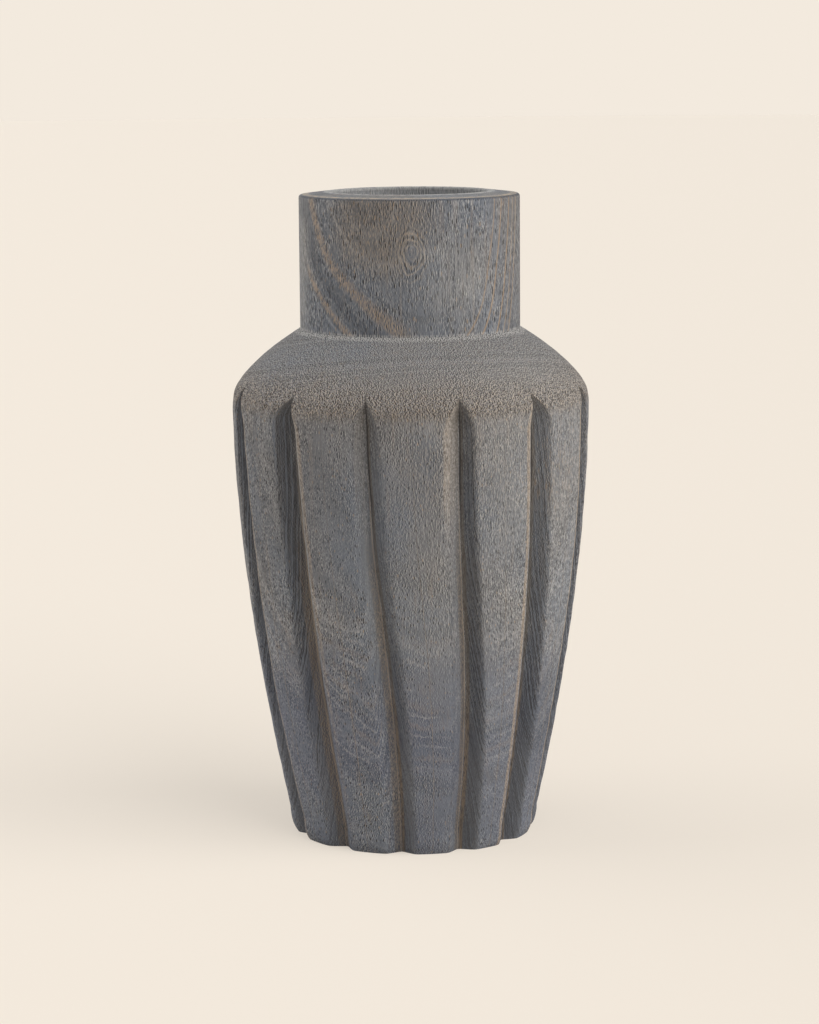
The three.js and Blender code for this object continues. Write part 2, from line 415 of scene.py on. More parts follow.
def ring_lines(tree, ring, lines):
    """A mask of single growth rings. Each has its ring, its half width and its strength, from 0 to 1."""
    first = min(place - width for place, width, strength in lines) - 1
    last = max(place + width for place, width, strength in lines) + 1
    part = add(tree, "MapRange", {0: ring, 1: first, 2: last})
    ramp = add(tree, "ValToRGB", {0: part})
    stops = ramp.node.color_ramp.elements
    for stop in stops:
        stop.color = (0, 0, 0, 1)
    for place, width, strength in lines:
        for ring_at, tone in ((place - width, 0), (place, strength), (place + width, 0)):
            stop = stops.new((ring_at - first) / (last - first))
            stop.color = (tone, tone, tone, 1)
    return ramp


def embossed(tree, grain, size):
    """Fine brush strokes: below a half dark, and above it the pale lip beside each."""
    stroke = grain_pattern(tree, grain, size)
    beside = grain_pattern(tree, grain, size, aside=STROKE_LIP)
    slope = add(tree, "Math", {0: stroke, 1: beside}, operation="SUBTRACT")
    return add(tree, "Math", {0: slope, 1: 0.5}, operation="ADD")


def brushed_wash(tree, finish, wood, warmth, rough, stroke_size, pore_size):
    """Open-pored wood, washed grey and wire-brushed along its fibres.

    The eye sees a cloud of blue-grey and warmer grey, level growth rings, fine strands along the fibres,
    and short dark pores and brush strokes, each with a pale lip of wash. Where rough is 0, the surface is
    cut smooth and shows no pores. Gives the colour and, in shares of the pore depth, the height for the
    bump, and adds its patterns to wood.
    """
    grain = wood["grain"]
    cloud = grain_pattern(tree, grain, PATCH, detail=3)
    patch = grain_pattern(tree, grain, STROKE_PATCH, detail=2)
    strand = grain_pattern(tree, grain, STRAND)
    streak = grain_pattern(tree, grain, STREAK, detail=2)
    stroke = embossed(tree, grain, stroke_size)
    pores = grain_pattern(tree, grain, pore_size, "TexVoronoi", 0)
    lips = grain_pattern(tree, grain, pore_size, "TexVoronoi", 0, -PORE_LIP)
    kind = add(tree, "SeparateColor", {0: pores.node.outputs["Color"]})
    lip_kind = add(tree, "SeparateColor", {0: lips.node.outputs["Color"]})
    sockets = {0: strand, 1: RING_FRAY, 2: wood["ring"]}
    uneven = add(tree, "Math", sockets, operation="MULTIPLY_ADD")
    sockets = {"W": uneven, "Scale": 1 / RING_SPACING, "Detail": 4.0, "Roughness": 0.6}
    rings = add(tree, "TexNoise", sockets, noise_dimensions="1D")
    warm = add(tree, "Math", {0: cloud, 1: warmth}, operation="ADD")
    open_pore = ((pores, 0.35, 0.24), (kind, 0.5, 0.46), (rough, 0, 1))
    layers = [
        ("warm_grey", 1.0, (warm, 0.3, 0.7)),
        ("dark_pore_and_shade", 0.22, (rings, 0.5, 0.3)),
        ("pale_fleck_and_highlight", 0.18, (rings, 0.52, 0.72)),
        ("dark_pore_and_shade", 0.2, (strand, 0.5, 0.25)),
        ("pale_fleck_and_highlight", 0.15, (strand, 0.52, 0.78)),
        ("tan", 0.2, (streak, 0.54, 0.76)),
        ("dark_pore_and_shade", 0.8, (stroke, 0.45, 0.28), (patch, 0.2, 0.6)),
        ("pale_fleck_and_highlight", 0.66, (stroke, 0.55, 0.74), (patch, 0.2, 0.6)),
        ("pale_fleck_and_highlight", 0.5, (lips, 0.33, 0.2), (lip_kind, 0.5, 0.46), (rough, 0, 1)),
        ("dark_pore_and_shade", 0.95, *open_pore),
        ("tan", 0.7, (pores, 0.33, 0.22), (kind, 0.93, 0.95), (rough, 0, 1)),
    ]
    colour = layered(tree, finish, finish.blue_grey, layers)
    relief = add(tree, "Math", {0: strand, 1: 0.8, 2: stroke}, operation="MULTIPLY_ADD")
    hole = mask(tree, 1.0, *open_pore)
    height = add(tree, "Math", {0: hole, 1: -0.8, 2: relief}, operation="MULTIPLY_ADD")
    wood.update(cloud=cloud, patch=patch, strand=strand, streak=streak, stroke=stroke)
    return colour, height


def wood_shader(tree, colour, height, roughness):
    """The shader of dry wood without varnish, and the output."""
    bump = add(tree, "Bump", {"Height": height, "Distance": PORE_DEPTH * MM, "Strength": 1.0})
    sockets = {"Base Color": colour, "Roughness": roughness, "IOR": 1.45, "Normal": bump}
    shader = add(tree, "BsdfPrincipled", sockets)
    add(tree, "OutputMaterial", {"Surface": shader})


# Growth rings that show as lines low on the flank: ring, half width and strength
FLANK_LINES = tuple((ring, 0.14, 1.0) for ring in (77.9, 79.1, 81.4, 82.4, 84.3, 85.9, 87.7, 88.6))
FLANK_BANDS = tuple((ring, 0.4, 1.0) for ring in (80.2, 83.2, 84.9, 86.6, 89.6))
# Places where the body's colour differs, in millimetres: the middle, how far each reaches and its full
# part. The right flank, its upper edge and its foot are made paler, and the upper left and the low right
# side darker
BODY_PLACES = {
    "blue_rib": ((-30, -74, 160), 50, 20),
    "right_flank": ((45, -68, 110), 75, 35),
    "right_edge": ((58, -58, 190), 55, 20),
    "tan_streaks": ((64, -51, 176), 26, 8),
    "right_foot": ((36, -50, 18), 50, 15),
    "dark_right": ((66, -32, 58), 38, 12),
    "dark_left": ((-66, -42, 165), 60, 20),
}


def body_wood(finish):
    """Washed and brushed wood of the body.

    One wall of each flute is painted dark, partly wash gathered there and partly painted shade where the
    wall is turned from the light, and the other wall is painted lighter in places as painted light. The
    wash is rubbed off to the tan wood in a strip along the valleys and on the arris turned to the vase's
    side, and in specks over the shoulder's edge. High in each valley a dark line is painted shade in its
    crease, and a pale line beside it lower down is a painted highlight. Low on the flank it is bluer,
    and some growth rings show as lines.
    """
    material, tree = new_material("grey_washed_brushed_body_wood")
    wood = marks(tree, "ring", "carved", "across", "turned", "worn", "outside")
    grain, side, height = (wood[name] for name in ("grain", "X", "Z"))
    carved, across, turned = (wood[name] for name in ("carved", "across", "turned"))
    low = mask(tree, 1.0, (height, 130, 60))
    high = mask(tree, 0.15, (height, 190, 212))
    warmth = add(tree, "Math", {0: low, 1: -0.25, 2: high}, operation="MULTIPLY_ADD")
    rough = mask(tree, 1.0, (carved, 0.5, 0.1))
    colour, relief = brushed_wash(tree, finish, wood, warmth, rough, STROKE, PORE)
    cloud, patch, strand = (wood[name] for name in ("cloud", "patch", "strand"))
    streak, stroke = wood["streak"], wood["stroke"]
    worm = embossed(tree, grain, WORM)
    dash = embossed(tree, grain, DASH)
    sockets = {0: strand, 1: HAIR_FRAY, 2: wood["ring"]}
    uneven = add(tree, "Math", sockets, operation="MULTIPLY_ADD")
    sockets = {"W": uneven, "Scale": 1 / RING_HAIR, "Detail": 2.0}
    hairs = add(tree, "TexNoise", sockets, noise_dimensions="1D")
    from_valley = add(tree, "Math", {0: across}, operation="ABSOLUTE")
    near = patches(tree, grain, BODY_PLACES)
    lines = ring_lines(tree, uneven, FLANK_LINES)
    bands = ring_lines(tree, uneven, FLANK_BANDS)
    flank = ((height, 125, 105), (height, 30, 50), (patch, 0.35, 0.6))
    dashed = ((side, -22, 22), (height, 50, 120), (rough, 0, 1))
    shoulder = (height, 207, 213)
    edge = ((height, 200, 207), (height, 228, 211), (carved, 0.12, 0.02))
    valley_right = ((across, 0.0, 0.03), (across, 0.26, 0.16), (height, 210, 196))
    valley_left = ((across, 0.0, -0.04), (across, -0.46, -0.32), (height, 165, 110))
    arris = ((from_valley, 0.86, 0.95), (from_valley, 1.16, 1.05), (wood["worn"], 0, 1), (height, 212, 196))
    seat = (height, 234.8, 236.0)
    layers = [
        ("deep_blue", 0.36, (low, 0, 1), (cloud, 0.3, 0.6)),
        ("deep_blue", 0.24, (height, 28, 42), (height, 78, 60), (patch, 0.4, 0.6)),
        ("blue_grey", 0.3, near["blue_rib"]),
        ("tan", 0.13, (bands, 0, 1), *flank),
        ("pale_fleck_and_highlight", 0.42, (lines, 0, 1), *flank, (strand, 0.3, 0.5)),
        ("dark_pore_and_shade", 0.5, (dash, 0.44, 0.3), *dashed),
        ("pale_fleck_and_highlight", 0.45, (dash, 0.56, 0.7), *dashed),
        ("tan", 0.2, (dash, 0.56, 0.7), *dashed, (height, 140, 180)),
        ("dark_pore_and_shade", 0.2, shoulder, (hairs, 0.5, 0.3)),
        ("pale_fleck_and_highlight", 0.1, shoulder, (hairs, 0.52, 0.7)),
        ("tan", 0.45, shoulder, (hairs, 0.68, 0.74), (streak, 0.48, 0.6)),
        ("dark_pore_and_shade", 0.5, shoulder, (worm, 0.46, 0.3)),
        ("pale_fleck_and_highlight", 0.45, shoulder, (worm, 0.54, 0.7)),
        # Paler over the right flank, its upper edge and its foot, darker on the upper left and low on the
        # right
        ("worn_pale_and_light", 0.12, near["right_flank"]),
        ("worn_pale_and_light", 0.22, near["right_edge"]),
        ("tan", 0.55, near["tan_streaks"], (strand, 0.6, 0.68)),
        ("worn_pale_and_light", 0.1, near["right_foot"]),
        ("dark_pore_and_shade", 0.2, near["dark_right"]),
        ("dark_pore_and_shade", 0.18, near["dark_left"]),
        # Painted light on the flute walls turned to the light, over wood rubbed pale there
        ("speck_and_highlight", 0.24, (turned, 0, -0.3), (height, 130, 190)),
        ("worn_pale_and_light", 0.3, (turned, 0, -0.3), (height, 60, 140), (side, 3, -6)),
        ("dark_pore_and_shade", 0.24, (turned, 0, -0.25), (height, 165, 120), (side, 3, 12), (side, 50, 38)),
        ("tan", 0.05, *edge),
        ("brown", 0.95, (worm, 0.49, 0.34), *edge),
        ("speck_and_highlight", 0.6, (worm, 0.55, 0.7), *edge),
        # Painted shade, with wash gathered in it, on the flute wall turned from the light, lightened low
        # down
        ("thick_wash_and_shade", 0.66, (turned, 0, 1.25)),
        ("dark_pore_and_shade", 0.64, (turned, 0, 0.6), (hairs, 0.5, 0.36)),
        ("blue_grey", 0.56, (turned, 0, 0.6), (hairs, 0.54, 0.68)),
        ("worn_pale_and_light", 0.14, (turned, 0, 0.6), (height, 75, 35)),
        ("olive", 0.55, *valley_right),
        ("brown", 0.5, *valley_right, (strand, 0.48, 0.34)),
        ("tan", 0.42, *valley_right, (height, 95, 45), (strand, 0.4, 0.55)),
        ("olive", 0.25, *valley_left),
        ("tan", 0.36, *valley_left, (stroke, 0.44, 0.6)),
        # A painted highlight along the left side of the valley
        ("speck_and_highlight", 0.36, (across, -0.12, -0.07), (across, 0.0, -0.03), (height, 200, 150)),
        # Painted shade: a dark line in the valley's crease, high on the flute
        ("dark_pore_and_shade", 0.7, (across, -0.02, 0.02), (across, 0.13, 0.08), (height, 140, 175)),
        ("tan", 0.4, *arris),
        ("speck_and_highlight", 0.5, *arris, (stroke, 0.48, 0.6)),
        # Pale and dark specks on the seat round the neck; the pale ones are also a painted highlight
        ("pale_fleck_and_highlight", 0.8, seat, (worm, 0.44, 0.54)),
        ("dark_pore_and_shade", 0.45, seat, (worm, 0.46, 0.36)),
        ("bare_wood", 0.8, (wood["outside"], 0.5, 0.0)),
    ]
    colour = layered(tree, finish, colour, layers)
    wood_shader(tree, colour, relief, roughness=0.85)
    return material


# The neck's growth rings that show: ring, half width and strength. Two broad tan ones rise to the left
# with a dark one between them, and thin tan ones stand upright on the right.
NECK_LOWER_BAND = ((35.0, 2.8, 1.0),)
NECK_UPPER_BAND = ((49.0, 2.5, 1.0),)
NECK_DARK_BAND = ((42.4, 6.4, 1.0),)
NECK_THIN_RINGS = ((46.7, 0.4, 0.8), (43.3, 0.5, 1), (38.2, 0.6, 1), (34.6, 0.5, 0.8), (31.2, 0.6, 0.9))
# Places where the neck's wash differs, as on the body
NECK_PLACES = {"brown": ((-14, -49, 288), 36, 8), "pale": ((22, -46, 262), 32, 0)}


def neck_wood(finish):
    """Washed and brushed wood of the neck, cut from the side of a log, with a small knot in front.

    Broad tan bands rise to the left, thin tan lines stand on the right, and the rim is rubbed pale in
    specks along its two edges.
    """
    material, tree = new_material("grey_washed_brushed_neck_wood")
    seat = BODY_HIGH.z * PER_METRE
    wood = marks(tree, "ring", "eye")
    grain, height, across = (wood[name] for name in ("grain", "Z", "X"))
    near = patches(tree, grain, NECK_PLACES)
    brown = mask(tree, 1.0, near["brown"])
    warmth = add(tree, "Math", {0: brown, 1: 0.3, 2: -0.1}, operation="MULTIPLY_ADD")
    rough = mask(tree, 1.0, (height, 299.0, 298.6))
    colour, relief = brushed_wash(tree, finish, wood, warmth, rough, NECK_STROKE, NECK_PORE)
    strand, stroke = wood["strand"], wood["stroke"]
    sockets = {0: strand, 1: NECK_FRAY, 2: wood["ring"]}
    ring = add(tree, "Math", sockets, operation="MULTIPLY_ADD")
    wobble = grain_pattern(tree, grain, EYE_WOBBLE, detail=2)
    mottle = grain_pattern(tree, grain, MOTTLE, detail=2)
    lower = ring_lines(tree, ring, NECK_LOWER_BAND)
    upper = ring_lines(tree, ring, NECK_UPPER_BAND)
    between = ring_lines(tree, ring, NECK_DARK_BAND)
    thin = ring_lines(tree, wood["ring"], NECK_THIN_RINGS)
    sockets = {0: wobble, 1: EYE_UNEVEN, 2: wood["eye"]}
    eye_place = add(tree, "Math", sockets, operation="MULTIPLY_ADD")
    eye_turn = add(tree, "Math", {0: eye_place, 1: FULL_TURN / EYE_RING}, operation="MULTIPLY")
    eye_rings = add(tree, "Math", {0: eye_turn}, operation="SINE")
    level = add(tree, "VectorMath", {0: grain, 1: (1, 1, 0)}, operation="MULTIPLY")
    from_axis = add(tree, "VectorMath", {0: level}, operation="LENGTH")
    left = (across, 0, -12)
    knot = (wood["eye"], 8.5, 6)
    top = (height, 298.45, 298.65)
    rim_middle = (top, (from_axis, 39.2, 40.6), (from_axis, 46.4, 45.0))
    rim_outer = (top, (from_axis, 45.8, 46.8), (from_axis, 49.4, 48.9))
    inside = (from_axis, 36.9, 36.3)
    layers = [
        ("thick_wash_and_shade", 0.06),
        ("brown", 0.12, (brown, 0, 1)),
        ("olive", 0.25, (across, 36, 48)),
        ("thick_wash_and_shade", 0.45, (between, 0, 1), left),
        ("tan", 0.6, (lower, 0, 0.8), (stroke, 0.36, 0.6), (height, 272, 262), left),
        ("tan", 0.6, (upper, 0, 0.8), (stroke, 0.36, 0.6), (across, 4, -8)),
        ("tan", 0.8, (thin, 0, 1), (across, 10, 20)),
        ("tan", 0.45, (stroke, 0.54, 0.7), (brown, 0, 1)),
        ("dark_pore_and_shade", 0.26, (eye_rings, -0.2, -0.9), knot),
        ("speck_and_highlight", 0.3, (eye_rings, 0.2, 0.9), knot),
        ("blue_grey", 0.5, (wood["eye"], 3.4, 1.8)),
        ("worn_pale_and_light", 0.35, (mask(tree, 1.0, near["pale"]), 0, 1), (strand, 0.3, 0.6)),
        # Pale on the neck's left edge: rubbed wash with a painted reflection
        ("worn_pale_and_light", 0.45, (across, -44, -49.5), (strand, 0.3, 0.6)),
        # A pale band of specks at the neck's foot, also a painted highlight
        ("pale_fleck_and_highlight", 0.55, (height, seat + 1.4, seat + 0.5), (stroke, 0.44, 0.56)),
        ("thick_wash_and_shade", 0.5, (height, 297.5, 298.1), (height, 298.8, 298.55)),
        ("worn_pale_and_light", 0.34, top),
        ("thick_wash_and_shade", 0.3, *rim_middle, (mottle, 0.62, 0.46)),
        ("speck_and_highlight", 0.8, *rim_outer, (mottle, 0.4, 0.56)),
        ("pale_fleck_and_highlight", 0.7, top, (from_axis, 39.6, 38.8), (mottle, 0.38, 0.54)),
        # Painted light inside the neck's bore, which lies in shade
        ("worn_pale_and_light", 0.62, inside),
        ("pale_fleck_and_highlight", 0.3, inside, (stroke, 0.52, 0.66)),
        ("dark_pore_and_shade", 0.2, inside, (stroke, 0.48, 0.34)),
    ]
    colour = layered(tree, finish, colour, layers)
    wood_shader(tree, colour, relief, roughness=0.82)
    return material


def disc_wood(finish):
    """Bare turned wood of the foot disc, tan with brown rings and strands."""
    material, tree = new_material("bare_turned_disc_wood")
    wood = marks(tree, "ring")
    strand = grain_pattern(tree, wood["grain"], STRAND)
    sockets = {"W": wood["ring"], "Scale": 1 / RING_SPACING, "Detail": 2.0}
    rings = add(tree, "TexNoise", sockets, noise_dimensions="1D")
    layers = [("brown", 0.35, (rings, 0.5, 0.3)), ("brown", 0.4, (strand, 0.5, 0.2))]
    colour = layered(tree, finish, finish.bare_wood[:], layers)
    wood_shader(tree, colour, strand, roughness=0.88)
    return material


class BodyShape:
    """The body's outline, its flutes and the hand that carved them, from the sizes that a user sets."""

    # Where columns lie across a flute's wall, from valley to rib, and how many lie on a rib
    COLUMNS_PER_WALL = (0, 0.06, 0.16, 0.28, 0.4, 0.52, 0.63, 0.73, 0.82, 0.9, 1)
    RIB_COLUMNS = 8
    # How far the valleys stray to the right of each flute's middle near its tip, in millimetres
    VALLEY_STRAY = (1.8, -0.6, 0.5, -1.2, 0.9, 0.4, -0.8, 1.1, -1.0, 0.6, 0.7, -1.1)
    # How far the tips themselves do
    TIP_STRAY = (0.8, -3.6, -2.5, 1.5, 2.8, -1.2, 0.6, -2.2, 3.0, 3.4, 5.2, 0.2)
    # The hand strays along a line and in a flute's depth: over what run, with what steps between flutes
    # and between lines, and by what share of the depth
    LINE_WANDER = (22 * MM, 7.3, 3.1)
    DEPTH_WANDER = (30 * MM, 5.7, 9.2, 0.08)
    FACE_WAVES = ((1, 9 * MM), (0.5, 3.5 * MM))
    # Round the vase, the gathered wash and painted shade change over to the flutes' other walls: at what
    # sine, and how sharply
    CHANGE = (-0.35, 2.2)
    # How dark the gathered wash and painted shade lie, how much that swings round the vase, and at what
    # share of the belly's height the swing turns over
    GATHER = (1.1, 0.825, 0.35)
    # By what power it fades where a flute is shallow, at the foot, and how much less that is at the belly
    FADE = (1.3, 0.6)
    # At what sine edges start to be worn, how soon they are fully worn, and how far on the left
    WORN = (0.45, 4, 0.5)

    def __init__(self, sizes):
        self.sizes = sizes
        self.height = BODY_HIGH.z
        self.flute_tip = sizes.belly_height + sizes.tip_rise
        self.valley_foot = sizes.foot_radius - sizes.flute_depth
        self.wall = sizes.flute_depth + sizes.valley_wall
        self.per_flute = 2 * len(self.COLUMNS_PER_WALL) - 1 + self.RIB_COLUMNS
        self.columns = sizes.flute_count * self.per_flute

    def flank_radius(self, height):
        """Radius over the ribs, straight down below the flank and straight up above it."""
        sizes = self.sizes
        low, middle, high = sizes.foot_edge_height, sizes.swell_height, sizes.belly_height
        rise = min(max(height, low), high) - low
        first = 2 * (middle - low)
        second = low - 2 * middle + high
        part = 2 * rise / (first + math.sqrt(first * first + 4 * second * rise))
        foot = Vector((sizes.foot_radius, low))
        swell = Vector((sizes.belly_radius - sizes.swell_inset, middle))
        return bend(foot, swell, Vector((sizes.belly_radius, high)), part).x

    def runout(self, height, over):
        """How far the flutes are cut: 0 at their tips, and 1 below them by the height they run out over."""
        part = min(max((self.flute_tip - height) / over, 0), 1)
        return math.sin(part * math.pi / 2)

    def flute_angle(self, flute, height):
        """Direction of a flute's valley from the front."""
        sizes = self.sizes
        even = sizes.first_flute + FULL_TURN / sizes.flute_count * flute
        down = min(max((self.flute_tip - height) / self.flute_tip, 0), 1)
        start = even - sizes.spacing_drift * math.sin(even)
        lean = (sizes.lean + sizes.lean_spread * math.cos(2 * even)) * down
        sway = sizes.sway * math.cos(2 * even) * math.sin(FULL_TURN * down)
        return start + lean - sway

    def flute_cut(self, part):
        """The flute's section, from 1 in the valley to 0 on the rib: a straight wall that rounds over."""
        straight = self.sizes.straight_wall
        slope = 2 / (1 + straight)
        if part < straight:
            return 1 - slope * math.hypot(part, self.sizes.valley_round * (1 - part / straight))
        return slope * (1 - part) ** 2 / (2 * (1 - straight))

    def wander(self, flute, height, way):
        """A carver's hand: how far a line strays at a height. Way tells the lines of one flute apart."""
        run, flute_step, line_step = self.LINE_WANDER
        place = Vector((flute * flute_step, way * line_step, height / run))
        return self.sizes.edge_wander * noise.noise(place)

    def columns_at(self, height):
        """The columns round the body at a height: angle, cut from 0 to 1, and place across the flute.

        That place is 0 in the valley, -1 at the flute's left edge and 1 at its right edge, and lies
        beyond them on the ribs.
        """
        sizes = self.sizes
        radius = self.flank_radius(height)
        narrowing = max(self.runout(height, sizes.tip_runout), sizes.tip_narrowing)
        half = sizes.flute_width * max(self.runout(height, sizes.tip_widening), sizes.tip_narrowing) / 2
        valleys = []
        for flute in range(sizes.flute_count):
            stray = self.VALLEY_STRAY[flute % len(self.VALLEY_STRAY)] * MM
            stray *= min(1, height / sizes.belly_height)
            stray = (stray + self.wander(flute, height, 0)) * narrowing
            tip_stray = self.TIP_STRAY[flute % len(self.TIP_STRAY)] * MM * (1 - narrowing)
            valley = self.flute_angle(flute, height) + (stray + tip_stray) / radius
            left = (half + stray + self.wander(flute, height, 1)) / radius
            right = (half - stray + self.wander(flute, height, 2)) / radius
            valleys.append((valley, left, right))
        columns = []
        for flute, (valley, left, right) in enumerate(valleys):
            next_valley, next_left, next_right = valleys[(flute + 1) % sizes.flute_count]
            next_valley += FULL_TURN if flute == sizes.flute_count - 1 else 0
            for part in self.COLUMNS_PER_WALL:
                columns.append((valley + part * right, self.flute_cut(part), part))
            rib_start = valley + right
            rib_end = next_valley - next_left
            for column in range(1, self.RIB_COLUMNS + 1):
                along = column / (self.RIB_COLUMNS + 1)
                beyond = 1 + min(along, 1 - along) * (rib_end - rib_start) * radius / half
                across = math.copysign(beyond, 0.5 - along)
                columns.append((rib_start + (rib_end - rib_start) * along, 0, across))
            for part in reversed(self.COLUMNS_PER_WALL[1:]):
                columns.append((next_valley - part * next_left, self.flute_cut(part), -part))
        return columns

    def turned(self, direction, across, reach, height):
        """A flute's wall: up to 1 or a little over where wash gathers and painted shade lies, down to -1
        where it is rubbed and painted light lies.
        """
        side = math.sin(math.pi * max(-1, min(across, 1)))
        change, sharpness = self.CHANGE
        side *= math.tanh(sharpness * (math.sin(direction) - change))
        rise = height / self.sizes.belly_height
        if side > 0:
            mean, swing, level = self.GATHER
            side *= mean - math.sin(2 * direction) * swing * (rise - level)
        power, fall = self.FADE
        return side * reach ** (power - fall * rise)

    def worn(self, direction, across):
        """How worn a flute's edge is: up to 1 on the inner edge of the flutes near the vase's sides."""
        aside = math.sin(direction)
        if aside * across > 0:
            return 0
        start, rise, left = self.WORN
        return min(max(rise * (abs(aside) - start), 0), 1 if aside > 0 else left)

    def outline(self, shape):
        """Draws the closed outline of the body's wall. The layer outside is 1 on its outer side."""
        sizes = self.sizes
        outside = shape.verts.layers.float.new("outside")
        edge = (sizes.belly_radius - sizes.edge_inset, sizes.belly_height + sizes.edge_rise)
        seat = (NECK_HIGH.x, self.height)
        bulge = (
            edge[0] + (seat[0] - edge[0]) * sizes.bulge_in,
            edge[1] + (seat[1] - edge[1]) * sizes.bulge_up,
        )
        foot_corner = (sizes.foot_radius, sizes.foot_corner_height)
        swell = (sizes.belly_radius - sizes.swell_inset, sizes.swell_height)
        edge_corner = (sizes.belly_radius, edge[1] - sizes.edge_round)
        shape.verts.new((0, -sizes.foot_rest_radius, 0))
        outline_to(shape, (sizes.foot_radius, sizes.foot_edge_height), foot_corner, steps=8)
        outline_to(shape, (sizes.belly_radius, sizes.belly_height), swell, steps=112)
        outline_to(shape, edge, edge_corner, steps=14)
        outline_to(shape, seat, bulge, steps=46)
        outer_count = len(shape.verts)
        neck = bpy.context.scene.vase_neck
        socket = NECK_HIGH.x - neck.wall + neck.spigot_wall + neck.glue_gap
        socket_floor = NECK_LOW.z - neck.end_gap
        recess = self.valley_foot - sizes.foot_ring
        ledge_top = DISC_HIGH.z + sizes.ledge_thickness
        wall_top = socket_floor - sizes.dome_height
        wall_foot = ledge_top + sizes.cove_height
        dome_x = self.flank_radius(wall_top) - self.wall
        cove_x = self.flank_radius(wall_foot) - self.wall
        outline_to(shape, (socket, self.height), steps=4)
        outline_to(shape, (socket, socket_floor), steps=4)
        outline_to(shape, (dome_x, wall_top), (dome_x, socket_floor - sizes.dome_drop), steps=12)
        wall_start = len(shape.verts)
        outline_to(shape, (cove_x, wall_foot), steps=24)
        shape.verts.ensure_lookup_table()
        for vert in shape.verts[wall_start:]:
            vert.co.y = self.wall - self.flank_radius(vert.co.z)
        outline_to(shape, (recess - sizes.ledge_width, ledge_top), (cove_x, ledge_top), steps=6)
        outline_to(shape, (recess - sizes.ledge_width, DISC_HIGH.z), steps=2)
        outline_to(shape, (recess, DISC_HIGH.z), steps=2)
        outline_to(shape, (recess, 0), steps=4)
        outline_to(shape, (sizes.foot_rest_radius, 0), steps=5)
        for vert in shape.verts:
            vert[outside] = 1
        shape.verts.ensure_lookup_table()
        for vert in shape.verts[outer_count:]:
            across = (-vert.co.y - recess) / (sizes.foot_rest_radius - recess)
            vert[outside] = across if vert.co.z == 0 else 0

    def carve(self, shape):
        """Moves the columns of the turned skin along the flutes and presses the flutes in."""
        outside = shape.verts.layers.float["outside"]
        names = ("carved", "across", "worn", "turned")
        carved, across_layer, worn, turned = (shape.verts.layers.float.new(name) for name in names)
        run, flute_step, line, share_strayed = self.DEPTH_WANDER
        step = FULL_TURN / self.columns
        levels = {}
        for vert in shape.verts:
            radius = math.hypot(vert.co.x, vert.co.y)
            height = vert.co.z
            key = round(height * PER_METRE, 3)
            if key not in levels:
                levels[key] = self.columns_at(height)
            column = round(math.atan2(vert.co.x, -vert.co.y) / step) % self.columns
            direction, cut, across = levels[key][column]
            runout = self.runout(height, self.sizes.tip_runout)
            depth = min(self.sizes.flute_depth * runout, max(radius - self.valley_foot, 0))
            place = Vector((column // self.per_flute * flute_step, line, height / run))
            depth *= 1 + share_strayed * noise.noise(place)
            radius -= depth * cut * vert[outside]
            reach = vert[outside] * min(depth / self.sizes.flute_depth, 1)
            vert[carved] = cut * reach
            vert[across_layer] = across
            vert[worn] = self.worn(direction, across)
            vert[turned] = self.turned(direction, across, reach, height)
            if vert[outside] == 1 and height > 0:
                place = Vector((radius * math.sin(direction), radius * math.cos(direction), height))
                radius += self.sizes.face_wander * swell(place, self.FACE_WAVES)
            vert.co = (radius * math.sin(direction), -radius * math.cos(direction), height)


class VASE_OT_fluted_body(bpy.types.Operator):
    """Turn the hollow body and carve its flutes"""

    bl_idname = "vase.fluted_body"
    bl_label = "Fluted body"

    def execute(self, context):
        body = BodyShape(context.scene.vase_body)
        shape = bmesh.new()
        body.outline(shape)
        spin_round(shape, body.columns)
        body.carve(shape)
        name = "washed_fluted_body"
        finished_piece(shape, name, "fluted_body", body_growth, body_wood, CRISP_CARVED)
        return {"FINISHED"}


class VASE_OT_neck_collar(bpy.types.Operator):
    """Turn the neck with its rounded rim and its spigot"""

    bl_idname = "vase.neck_collar"
    bl_label = "Neck collar"

    COLUMNS = 216

    def execute(self, context):
        neck = context.scene.vase_neck
        outer = NECK_HIGH.x
        bore = outer - neck.wall
        spigot = bore + neck.spigot_wall
        seat = BODY_HIGH.z
        rim = NECK_HIGH.z
        corner = rim - neck.rim_fall
        shape = bmesh.new()
        shape.verts.new((0, -outer, seat))
        outline_to(shape, (outer, corner - neck.outer_round), steps=46)
        outline_to(shape, (outer - neck.outer_round, corner), (outer, corner), steps=7)
        outline_to(shape, (bore + neck.inner_round, rim), steps=8)
        outline_to(shape, (bore, rim - neck.inner_round), (bore, rim), steps=8)
        outline_to(shape, (bore, NECK_LOW.z), steps=36)
        outline_to(shape, (spigot - neck.spigot_chamfer, NECK_LOW.z), steps=3)
        outline_to(shape, (spigot, NECK_LOW.z + neck.spigot_chamfer))
        outline_to(shape, (spigot, seat), steps=6)
        outline_to(shape, (outer, seat), steps=5)
        spin_round(shape, self.COLUMNS)
        name = "washed_neck_collar"
        finished_piece(shape, name, "neck_collar", neck_growth, neck_wood, CRISP_TURNED)
        return {"FINISHED"}


